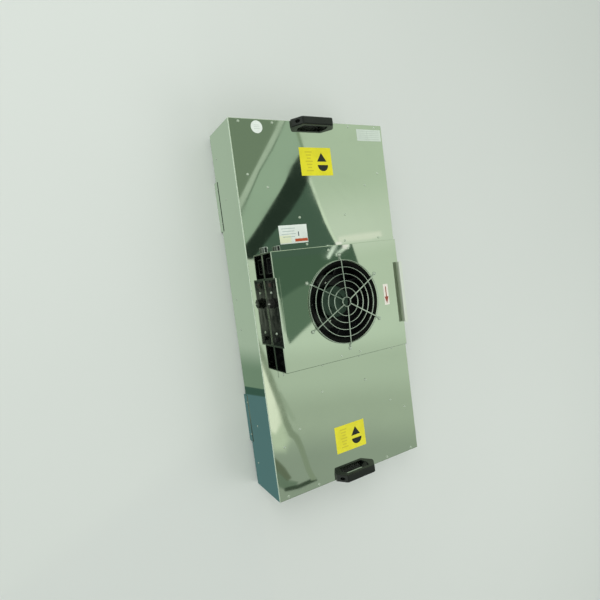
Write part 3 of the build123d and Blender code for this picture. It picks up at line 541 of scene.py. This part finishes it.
def gloss_plastic(name, colour):
    """Glossy moulded plastic with faint flow marks."""
    finish = Finish(name)
    flow = finish.noise(60.0, detail=3.0)
    return finish.set(
        Base_Color=finish.blend(flow.ramp(0.35, 0.7), colour, darker(colour, 0.8)),
        Roughness=0.22 + 0.12 * flow,
        Normal=finish.relief(flow, 0.00005, 0.5),
    )


def lacquered_sheet(name, rubbed=None):
    """Black lacquer over thin sheet: it mirrors in broken streaks, and a low edge can be bare."""
    finish = Finish(name)
    place = finish.place()
    buckle = finish.noise(24.0, detail=1.0, vector=finish.stretched(place, (0.7, 1.0, 1.3)))
    scratch = finish.noise(900.0, detail=3.0, vector=finish.stretched(place, (0.05, 1.0, 1.0)))
    film = finish.noise(70.0, detail=4.0).ramp(0.45, 0.7)
    bent = finish.relief(buckle, 0.0007, 0.8)
    colour = finish.blend(film, (0.004, 0.0045, 0.0045), (0.014, 0.016, 0.013))
    roughness = 0.07 + 0.12 * film
    if rubbed is not None:
        bare = (finish.parts(place)[2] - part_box(rubbed)[0][2]).below(BARE_EDGE)
        colour = finish.blend(bare, colour, (0.62, 0.68, 0.58))
        roughness = roughness + 0.3 * bare
        finish.set(Metallic=bare)
    return finish.set(
        Base_Color=colour,
        Roughness=roughness,
        Specular_IOR_Level=0.9,
        Normal=finish.relief(scratch, 0.000006, 0.5, under=bent),
    )


def marked_knob(finish, node):
    """Fills the pointer slot in a knob's face with pale paint."""
    low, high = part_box(node)
    x, y, z = finish.parts(finish.place())
    middle_x, middle_z = (low[0] + high[0]) / 2, (low[2] + high[2]) / 2
    slot = abs(x - middle_x).below(SLOT_HALF_WIDTH) * (y - low[1]).below(SLOT_DEPTH)
    slot = slot * z.above(middle_z + SLOT_START) * z.below(middle_z + SLOT_END)
    base = finish.shader.inputs["Base Color"].links[0].from_socket
    return finish.set(Base_Color=finish.blend(slot, Value(finish, base), (0.62, 0.64, 0.58)))


def clear_nylon(name, node):
    """Half-clear nylon housing, drawn opaque: pale along its edges, with painted shade for the dark
    cells seen between them.
    """
    finish = Finish(name)
    low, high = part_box(node)
    inset = []
    for axis, part in enumerate(finish.parts(finish.place())):
        inset.append((part - low[axis]).least(high[axis] - part))
    near, far = inset[0].least(inset[1]), inset[0].most(inset[1])
    edge = near.most(far.least(inset[2]))
    cloud = finish.noise(220.0, detail=3.0)
    rim = 1.0 - edge.ramp(*NYLON_RIM)
    # Painted shade: the dark inner colour stands in for the hollows seen through the clear walls;
    # the pale rim is the nylon's own milky colour.
    inner = finish.blend(cloud, (0.03, 0.04, 0.035), (0.16, 0.20, 0.17))
    return finish.set(
        Base_Color=finish.blend(rim * 0.8, inner, (0.62, 0.68, 0.60)),
        Roughness=0.2 + 0.15 * cloud,
        Normal=finish.relief(cloud, 0.00008, 0.5),
    )


class CONTROLS_OT_dress(bpy.types.Operator):
    """Finishes the control tray and plate, the knob, the rocker, the sockets and the handles"""

    bl_idname = "filter_unit.controls"
    bl_label = "Controls and handles"

    def execute(self, context):
        black = tuple(trim().black)
        put_finish(lacquered_sheet("black tray sheet"), "control_tray")
        put_finish(lacquered_sheet("black control sheet", "control_plate"), "control_plate")
        moulding = gloss_plastic("black moulding", black)
        put_finish(moulding, "rocker_bezel", "fuse_holder", "power_inlet")
        put_finish(gloss_plastic("dark controller case", (0.02, 0.02, 0.022)), "speed_controller")
        knob = grained_plastic("black knob", (0.014, 0.014, 0.013))
        put_finish(marked_knob(knob, "speed_knob"), "speed_knob")
        put_finish(gloss_plastic("dark red rocker", (0.030, 0.008, 0.007)), "power_rocker")
        for name in ("control_connector_inner", "control_connector_outer"):
            put_finish(clear_nylon(f"{name} nylon", name), name)
        handle = grained_plastic("black handle", (0.006, 0.0065, 0.0065), roughness=0.24)
        put_finish(handle, "handle_left", "handle_right")
        return {"FINISHED"}


# ------------------------------------------------------------------ labels
FILM_ROUGHNESS = 0.35


class Print:
    """A printed film on one label: fields of colour placed by shares of its width and height."""

    def __init__(self, name, node, paper):
        self.finish = Finish(name)
        low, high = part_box(node)
        x, y, _ = self.finish.parts(self.finish.place())
        self.across = (y - low[1]) / (high[1] - low[1])
        self.down = (x - low[0]) / (high[0] - low[0])
        self.size = (high[1] - low[1], high[0] - low[0])
        self.cloud = self.finish.noise(30.0, detail=4.0)
        self.colour = self.finish.blend(self.cloud.ramp(0.35, 0.75), paper, darker(paper, 0.9))

    def lay(self, mask, colour):
        """Prints a colour where the mask is 1."""
        self.colour = self.finish.blend(mask, self.colour, colour)

    def bar(self, across, down, width, height):
        """A filled rectangle about a centre."""
        inside_across = abs(self.across - across).below(width / 2)
        inside_down = abs(self.down - down).below(height / 2)
        return inside_across * inside_down

    def disc(self, across, down, radius):
        """A filled circle, with its radius in metres."""
        dx = (self.across - across) * self.size[0]
        dy = (self.down - down) * self.size[1]
        return (dx * dx + dy * dy).below(radius * radius)

    def done(self):
        """The finish, once all is printed."""
        film = self.finish.relief(self.cloud, 0.0001, 0.4)
        roughness = FILM_ROUGHNESS + 0.1 * self.cloud
        return self.finish.set(Base_Color=self.colour, Roughness=roughness, Normal=film)


class LABELS_OT_dress(bpy.types.Operator):
    """Prints the labels with plain fields and simple shapes, with no words or signs"""

    bl_idname = "filter_unit.labels"
    bl_label = "Labels"

    def execute(self, context):
        red = tuple(trim().block_red)
        yellow = tuple(trim().label_yellow)
        dark_yellow = (0.60, 0.53, 0.012)
        ink = (0.012, 0.014, 0.010)
        for name in ("yellow_label_left", "yellow_label_right"):
            film = Print(f"{name} print", name, yellow)
            for row in range(7):
                width = 0.22 - 0.05 * (row % 3)
                film.lay(film.bar(0.28, 0.16 + 0.11 * row, width, 0.045), dark_yellow)
            wedge = abs(film.across - 0.68).below((film.down - 0.18) * 0.48)
            film.lay(wedge * film.bar(0.68, 0.34, 0.4, 0.32), ink)
            film.lay(film.disc(0.70, 0.62, 0.020) * film.down.above(0.62), ink)
            put_finish(film.done(), name)

        film = Print("rating label print", "rating_label", (0.80, 0.86, 0.80))
        film.lay(film.bar(0.20, 0.75, 0.40, 0.40), (0.80, 0.84, 0.60))
        for row in range(4):
            width = 0.50 - 0.08 * (row % 2)
            film.lay(film.bar(0.33, 0.18 + 0.15 * row, width, 0.035), (0.42, 0.50, 0.47))
        film.lay(film.bar(0.68, 0.50, 0.035, 0.24), (0.08, 0.10, 0.12))
        film.lay(film.bar(0.76, 0.84, 0.46, 0.16), red)
        put_finish(film.done(), "rating_label")

        grey = (0.40, 0.47, 0.41)
        film = Print("type plate print", "type_plate", (0.62, 0.70, 0.62))
        for row in range(5):
            film.lay(film.bar(0.5, 0.16 + 0.17 * row, 0.84, 0.025), grey)
        film.lay(film.bar(0.42, 0.5, 0.010, 0.72), grey)
        put_finish(film.done(), "type_plate")

        film = Print("round label print", "round_label", (0.78, 0.84, 0.78))
        for row in range(3):
            film.lay(film.bar(0.5, 0.36 + 0.14 * row, 0.5, 0.04), (0.50, 0.56, 0.50))
        put_finish(film.done(), "round_label")

        brown = (0.30, 0.060, 0.035)
        film = Print("flow arrow print", "flow_label", (0.82, 0.78, 0.70))
        film.lay(film.bar(0.5, 0.40, 0.20, 0.56), brown)
        head = (abs(film.across - 0.5) * 0.80 + film.down).below(0.94)
        film.lay(head * film.down.above(0.60), brown)
        put_finish(film.done(), "flow_label")
        return {"FINISHED"}


# ------------------------------------------------------------------ studio
PICTURE_SIDE = 600
SENSOR_WIDTH = 36.0
FLOOR_HALF_SIDE = 9.0
LAMP_TARGET = Vector((0.0, 0.0, 0.1))

# Soft panels that the polished steel mirrors, nearest first. They are painted reflections: they put
# the highlights, streaks and dark lines in its faces and light nothing. Each has the node whose top
# face mirrors it, its colour, the width of its soft border in metres, and its outline as the camera
# sees it in that face, in points across and down a picture of PICTURE_SIDE points.
MIRRORED_PANELS = {
    "spot_light": (
        "fan_cover", (1.0, 1.0, 0.94), 0.02, ((343, 241), (348, 241), (348, 248), (343, 248))
    ),
    "left_streak_light": (
        "fan_cover",
        (0.86, 1.0, 0.86),
        0.012,
        ((334, 244), (337, 245), (333, 252), (329, 259), (327, 257), (331, 250)),
    ),
    "right_streak_light": (
        "fan_cover",
        (0.80, 0.95, 0.80),
        0.012,
        ((350, 246), (344, 250), (337, 256), (336, 254), (342, 249), (349, 244)),
    ),
    "edge_glow": (
        "casing",
        (0.84, 0.90, 0.76),
        0.05,
        (
            (340, 238.5), (352, 237), (366, 235), (380, 233),
            (381, 235), (366, 237.5), (352, 239), (340, 240),
        ),
    ),
    "moss_flag": (
        "casing",
        (0.200, 0.275, 0.185),
        0.012,
        (
            (226, 112.5), (279, 119.5), (273.5, 131.5), (261, 156), (248, 182.5),
            (240, 201), (236, 208.5), (208, 180), (198.5, 110.5),
        ),
    ),
    "pale_strip": (
        "casing",
        (0.47, 0.58, 0.45),
        0.012,
        (
            (280.5, 117), (286.5, 117), (272, 147), (259, 170), (251.5, 188.5),
            (238.5, 219.5), (232.5, 208.5), (240, 201), (255, 167), (268, 143),
        ),
    ),
    "dark_reflected_line": (
        "casing",
        (0.18, 0.26, 0.18),
        0.008,
        (
            (285.5, 117), (287.5, 117.5), (273.5, 148), (260.5, 171), (253, 189.5),
            (240.5, 222.5), (238, 220), (251, 188.5), (258.5, 170), (272, 147),
        ),
    ),
    "olive_reflected_line": (
        "casing",
        (0.24, 0.33, 0.21),
        0.01,
        ((296.5, 130.5), (299, 130.5), (304.5, 148), (302.5, 149)),
    ),
    "black_flag": (
        "casing",
        (0.024, 0.040, 0.028),
        0.022,
        (
            (303, 150), (309, 177.5), (302.5, 192), (290, 211.5), (273.5, 231.5), (253.5, 258.5),
            (241, 257), (255, 235), (268.5, 213), (281, 192.5), (286.5, 182.5), (293, 167),
        ),
    ),
    "green_flag": (
        "casing",
        (0.078, 0.136, 0.095),
        0.004,
        (
            (308, 176), (313, 189.5), (325.5, 222), (337, 245), (337, 252.5),
            (262, 260), (253.5, 258.5), (273.5, 231.5), (290, 211.5), (302.5, 192),
        ),
    ),
    "pale_border": (
        "casing",
        (0.76, 0.90, 0.70),
        0.008,
        (
            (308, 176), (311, 176), (322, 206.5), (334, 234),
            (340, 244), (336.5, 246), (325.5, 222), (313, 189.5),
        ),
    ),
    "grey_screen": (
        "casing",
        (0.37, 0.50, 0.37),
        0.01,
        (
            (286.5, 112.5), (297.5, 131.5), (304, 150), (293, 167), (286.5, 182.5), (268.5, 213),
            (255, 235), (239, 257), (215, 226.5), (232.5, 208.5), (238.5, 219.5), (251.5, 189.5),
            (273, 148),
        ),
    ),
    "cover_glow": (
        "fan_cover",
        (0.125, 0.205, 0.135),
        0.05,
        (
            (281.5, 302), (300.5, 289.5), (313.5, 284), (331.5, 298.5), (313, 320), (293, 340),
            (287, 329),
        ),
    ),
    "cover_flag": (
        "fan_cover",
        (0.076, 0.138, 0.088),
        0.008,
        (
            (262, 246), (333, 243), (343, 249), (353, 243), (360, 264), (330, 300), (311, 320),
            (301, 331), (291, 344), (287.5, 333), (284.5, 319), (281.5, 303), (276, 288),
            (268, 268),
        ),
    ),
    "long_reflected_line": (
        "casing",
        (0.27, 0.34, 0.24),
        0.014,
        (
            (257, 334), (263, 345), (268, 358), (272, 371), (277, 384), (281, 396), (285.5, 408),
            (289.5, 421), (294, 431), (300, 437), (304, 446), (308, 458), (312, 470), (318, 480),
            (313, 481), (308, 471), (304, 459), (300, 448), (296, 440), (291, 436), (286, 424),
            (282, 411), (277.5, 398), (273, 386), (269, 373), (264.5, 360), (260, 348), (256, 338),
        ),
    ),
    "short_reflected_line": (
        "casing",
        (0.38, 0.47, 0.35),
        0.014,
        ((282, 392), (290, 407), (297, 420), (294.5, 421), (287.5, 408), (280.5, 393)),
    ),
    "edge_margin": (
        "casing",
        (0.40, 0.50, 0.40),
        0.018,
        (
            (254, 340), (257.5, 352), (261.5, 372.5), (264.5, 390.5), (267, 408.5), (270, 428.5),
            (272, 450.5), (270.5, 452.5), (265, 430.5), (259, 400.5), (249, 350),
        ),
    ),
    "bright_board": (
        "casing",
        (0.92, 1.0, 0.80),
        0.05,
        (
            (256, 343), (259, 351), (263, 361.5), (267, 373.5), (271.5, 386.5), (275.5, 399.5),
            (279, 412), (281, 423.5), (278, 432.5), (272, 426.5), (270, 414.5), (267.5, 400),
            (264, 380), (260, 361),
        ),
    ),
    "dim_board": (
        "casing",
        (0.58, 0.69, 0.51),
        0.13,
        (
            (278, 412), (280.5, 425), (284, 434.5), (285.5, 442),
            (284.5, 447), (280, 446), (275.5, 437.5), (271.5, 420),
        ),
    ),
    "corner_line": (
        "casing",
        (0.045, 0.070, 0.045),
        0.010,
        (
            (287.5, 489.5), (300, 486.5), (312, 481), (318, 479.5),
            (319, 481.5), (313, 484), (301, 489.5), (288, 492.5),
        ),
    ),
    "corner_fold": (
        "casing",
        (0.150, 0.190, 0.125),
        0.022,
        (
            (273, 455), (280, 462), (287, 470), (293, 479),
            (290, 481), (284, 474), (277, 467), (271, 461),
        ),
    ),
    "corner_shade": (
        "casing",
        (0.165, 0.235, 0.165),
        0.030,
        (
            (274, 464), (280, 471), (286, 477), (291, 483), (299, 484),
            (298, 486), (288, 489.5), (282, 486), (277, 481),
        ),
    ),
}
PANEL_STEP = 0.002  # the rise from one panel to the next

# Panels just over the floor that the -Y wall mirrors, uppermost first, with each one's colour,
# soft border and corners in metres: painted reflections of a teal and sage floor over the plain
# pale one. They start at the wall's foot and run out of sight.
FOOT = -0.285  # y of the wall's foot
OUT = -1.50  # y where the two narrow panels end
FAR_OUT = -4.00  # y where the two wide panels end
FAR_END = 4.00  # x at the wide panels' far ends
LOW_PANELS = {
    "teal_shade": (
        (0.052, 0.115, 0.088),
        0.008,
        ((0.249, FOOT), (0.740, OUT), (0.761, OUT), (0.270, FOOT)),
    ),
    "teal_part": (
        (0.103, 0.207, 0.215),
        0.008,
        ((0.268, FOOT), (1.750, FAR_OUT), (FAR_END, FAR_OUT), (FAR_END, FOOT)),
    ),
    "shaded_part": (
        (0.200, 0.300, 0.210),
        0.16,
        ((0.190, FOOT), (0.660, OUT), (0.760, OUT), (0.290, FOOT)),
    ),
    "pale_part": (
        (0.450, 0.560, 0.445),
        0.10,
        ((-FAR_END, FOOT), (-FAR_END, FAR_OUT), (1.750, FAR_OUT), (0.300, FOOT)),
    ),
}
LOW_PANEL_STEP = 0.0005

# The room's colours: the pale one lights the unit and the others are seen in mirrors only.
PLAIN_ROOM = (0.72, 0.75, 0.72)
SAGE_ROOM = (0.56, 0.69, 0.52)
DULL_SAGE = (0.42, 0.52, 0.39)
DARK_STREAK = (0.060, 0.080, 0.065)
PALE_STREAK = (0.62, 0.70, 0.58)
HIGH_FRONT = (0.72, 0.84, 0.70)
DARK_END = (0.12, 0.16, 0.12)
LOW_ROOM = (0.30, 0.38, 0.30)

# How the mirrored tone goes from the -X end to the +X end: where each blend starts and ends
# along x of the mirrored direction, whose length is 1, and its colour.
MIRRORED_TONES = (
    (-0.20, -0.08, (0.70, 0.81, 0.66)),
    (-0.06, -0.01, (0.60, 0.72, 0.56)),
    (0.04, 0.14, (0.64, 0.77, 0.61)),
    (0.15, 0.21, (0.53, 0.64, 0.50)),
    (0.24, 0.31, (0.43, 0.52, 0.40)),
    (0.33, 0.40, (0.31, 0.38, 0.30)),
)


def camera_turn():
    """The camera's rotation."""
    return Euler(studio().camera_turn)


def mirrored(point, face, height):
    """Where the camera's ray through a picture point meets a height, once a face mirrors it."""
    across, down = (part - PICTURE_SIDE / 2 for part in point)
    depth = studio().lens / SENSOR_WIDTH * PICTURE_SIDE
    ray = camera_turn().to_matrix() @ Vector((across, -down, -depth))
    eye = Vector(studio().camera_place)
    # In the mirror the height lies as far below the face as it really lies above it.
    reach = (2 * face - height - eye.z) / ray.z
    return (eye + reach * ray).xy


def grown(corners, reach):
    """The outline moved outward by a reach, corner by corner."""
    count = len(corners)
    turns = zip(corners, (*corners[1:], corners[0]), strict=True)
    area = sum(x0 * y1 - x1 * y0 for (x0, y0), (x1, y1) in turns)
    side = 1.0 if area > 0 else -1.0
    moved = []
    for i in range(count):
        before, here, after = (Vector(corners[(i + k) % count]) for k in (-1, 0, 1))
        first, second = (here - before).normalized(), (after - here).normalized()
        out = side * (Vector((first.y, -first.x)) + Vector((second.y, -second.x)))
        out = out.normalized() if out.length > 0.001 else side * Vector((first.y, -first.x))
        moved.append(here + out * reach)
    return moved


def flat_panel(name, corners, height, colour, soft):
    """A panel with a soft border that only mirrors see: it lights nothing and casts no shadow."""
    count = len(corners)
    points = [*corners, *grown(corners, soft)]
    border = [(i, (i + 1) % count, (i + 1) % count + count, i + count) for i in range(count)]
    mesh = bpy.data.meshes.new(name)
    mesh.from_pydata([(x, y, height) for x, y in points], [], [tuple(range(count)), *border])
    fade = mesh.attributes.new("fade", "FLOAT", "POINT")
    fade.data.foreach_set("value", [0.0] * count + [1.0] * count)
    panel = bpy.data.objects.new(name, mesh)
    bpy.context.collection.objects.link(panel)
    finish = Finish(name)
    edge = finish.node("ShaderNodeAttribute", {"attribute_name": "fade"}, out="Fac").ramp(0.0, 1.0)
    light = finish.node("ShaderNodeEmission", None, {"Color": colour, "Strength": 1.0})
    clear = finish.node("ShaderNodeBsdfTransparent")
    finish.surface(finish.node("ShaderNodeMixShader", None, {0: edge, 1: light, 2: clear}))
    mesh.materials.append(finish.material)
    for ray in ("camera", "diffuse", "shadow", "transmission", "volume_scatter"):
        setattr(panel, f"visible_{ray}", False)


def soft_lamp(name, place, size, power):
    """A round lamp aimed at the unit, which no mirror shows."""
    lamp = bpy.data.lights.new(name, "AREA")
    lamp.shape = "DISK"
    lamp.size = size
    lamp.energy = power
    holder = bpy.data.objects.new(name, lamp)
    holder.location = place
    holder.rotation_euler = (LAMP_TARGET - Vector(place)).to_track_quat("-Z", "Y").to_euler()
    holder.visible_glossy = False
    bpy.context.collection.objects.link(holder)


class STUDIO_OT_set(bpy.types.Operator):
    """Builds the floor, the mirrored panels, the lamps, the world and the camera"""

    bl_idname = "filter_unit.studio"
    bl_label = "Studio"

    def floor(self):
        mesh = bpy.data.meshes.new("floor")
        signs = ((-1, -1), (1, -1), (1, 1), (-1, 1))
        corners = [(x * FLOOR_HALF_SIDE, y * FLOOR_HALF_SIDE, 0.0) for x, y in signs]
        mesh.from_pydata(corners, [], [(0, 1, 2, 3)])
        floor = bpy.data.objects.new("floor", mesh)
        bpy.context.collection.objects.link(floor)
        finish = Finish("plain pale floor")
        cloud = finish.noise(1.2, detail=3.0)
        colour = tuple(studio().floor_colour)
        finish.set(Base_Color=finish.blend(cloud, colour, darker(colour, 0.97)), Roughness=0.6)
        mesh.materials.append(finish.material)

    def panels(self):
        height = studio().flag_height
        for level, (name, (node, colour, soft, outline)) in enumerate(MIRRORED_PANELS.items()):
            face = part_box(node)[1][2]
            corners = [mirrored(point, face, height) for point in outline]
            flat_panel(name, corners, height + level * PANEL_STEP, colour, soft)
        for level, (name, (colour, soft, corners)) in enumerate(LOW_PANELS.items()):
            height = (len(LOW_PANELS) - level) * LOW_PANEL_STEP
            flat_panel(name, corners, height, colour, soft)

    def world(self):
        """A plain pale room, and in mirrors a sage one, darker low down and past the +X end."""
        world = bpy.data.worlds.new("studio world")
        world.use_nodes = True
        bpy.context.scene.world = world
        finish = Finish("studio world", world.node_tree)
        toward = finish.node("ShaderNodeTexCoord", out="Generated")
        x, y, z = finish.parts(toward)
        cloud = finish.noise(2.2, detail=2.0, vector=toward).ramp(0.35, 0.7)
        tone = SAGE_ROOM
        for low, high, colour in MIRRORED_TONES:
            tone = finish.blend(x.ramp(low, high), tone, colour)
        tone = finish.blend(cloud * 0.2, tone, DULL_SAGE)
        along = finish.stretched(toward, (1.0, 0.5, 0.5))
        streaks = finish.noise(7.0, detail=3.0, vector=along).ramp(0.52, 0.64)
        front = finish.blend(streaks, DARK_STREAK, PALE_STREAK)
        front = finish.blend(z.ramp(0.78, 0.86), HIGH_FRONT, front)
        tone = finish.blend((-y).ramp(-0.12, 0.25), tone, front)
        tone = finish.blend(x.ramp(0.5, 0.72), tone, DARK_END)
        tone = finish.blend(z.ramp(-0.15, 0.12), LOW_ROOM, tone)
        glossy = finish.node("ShaderNodeLightPath", out="Is Glossy Ray")
        colour = finish.blend(glossy, PLAIN_ROOM, tone)
        light = finish.node("ShaderNodeBackground", None, {"Color": colour, "Strength": 1.0})
        output = finish.tree.nodes.new("ShaderNodeOutputWorld")
        finish.feed(output.inputs["Surface"], light)

    def camera(self):
        data = bpy.data.cameras.new("camera")
        data.sensor_width = SENSOR_WIDTH
        data.lens = studio().lens
        camera = bpy.data.objects.new("camera", data)
        camera.matrix_world = Matrix.LocRotScale(studio().camera_place, camera_turn(), None)
        bpy.context.collection.objects.link(camera)
        bpy.context.scene.camera = camera

    def execute(self, context):
        self.floor()
        self.panels()
        self.world()
        soft_lamp("key", place=(-1.6, -1.6, 2.6), size=1.6, power=26.0)
        soft_lamp("fill", place=(1.4, 1.6, 2.4), size=1.8, power=12.0)
        self.camera()
        bpy.context.scene.view_settings.view_transform = "Standard"
        return {"FINISHED"}


# ------------------------------------------------------------------ panel and registration
OPERATORS = (
    POLISHED_STEEL_OT_dress,
    FASTENERS_OT_dress,
    FAN_OT_dress,
    FILTER_OT_dress,
    CONTROLS_OT_dress,
    LABELS_OT_dress,
    STUDIO_OT_set,
)


class FILTER_UNIT_PT_panel(bpy.types.Panel):
    """Lists the pieces and their settings"""

    bl_label = "Fan filter unit"
    bl_idname = "FILTER_UNIT_PT_panel"
    bl_space_type = "VIEW_3D"
    bl_region_type = "UI"
    bl_category = "Filter unit"

    def draw(self, context):
        for settings in (steel(), trim(), studio()):
            box = self.layout.box()
            for name in settings.__annotations__:
                box.prop(settings, name)
        for operator in OPERATORS:
            self.layout.operator(operator.bl_idname)


SETTINGS = {
    "filter_unit_steel": SteelSettings,
    "filter_unit_trim": TrimSettings,
    "filter_unit_studio": StudioSettings,
}
CLASSES = (*SETTINGS.values(), *OPERATORS, FILTER_UNIT_PT_panel)


def register():
    for item in CLASSES:
        bpy.utils.register_class(item)
    for name, group in SETTINGS.items():
        setattr(bpy.types.Scene, name, bpy.props.PointerProperty(type=group))


def unregister():
    for name in SETTINGS:
        delattr(bpy.types.Scene, name)
    for item in reversed(CLASSES):
        bpy.utils.unregister_class(item)


def main():
    register()
    for operator in OPERATORS:
        group, action = operator.bl_idname.split(".")
        getattr(getattr(bpy.ops, group), action)()


if __name__ == "__main__":
    main()
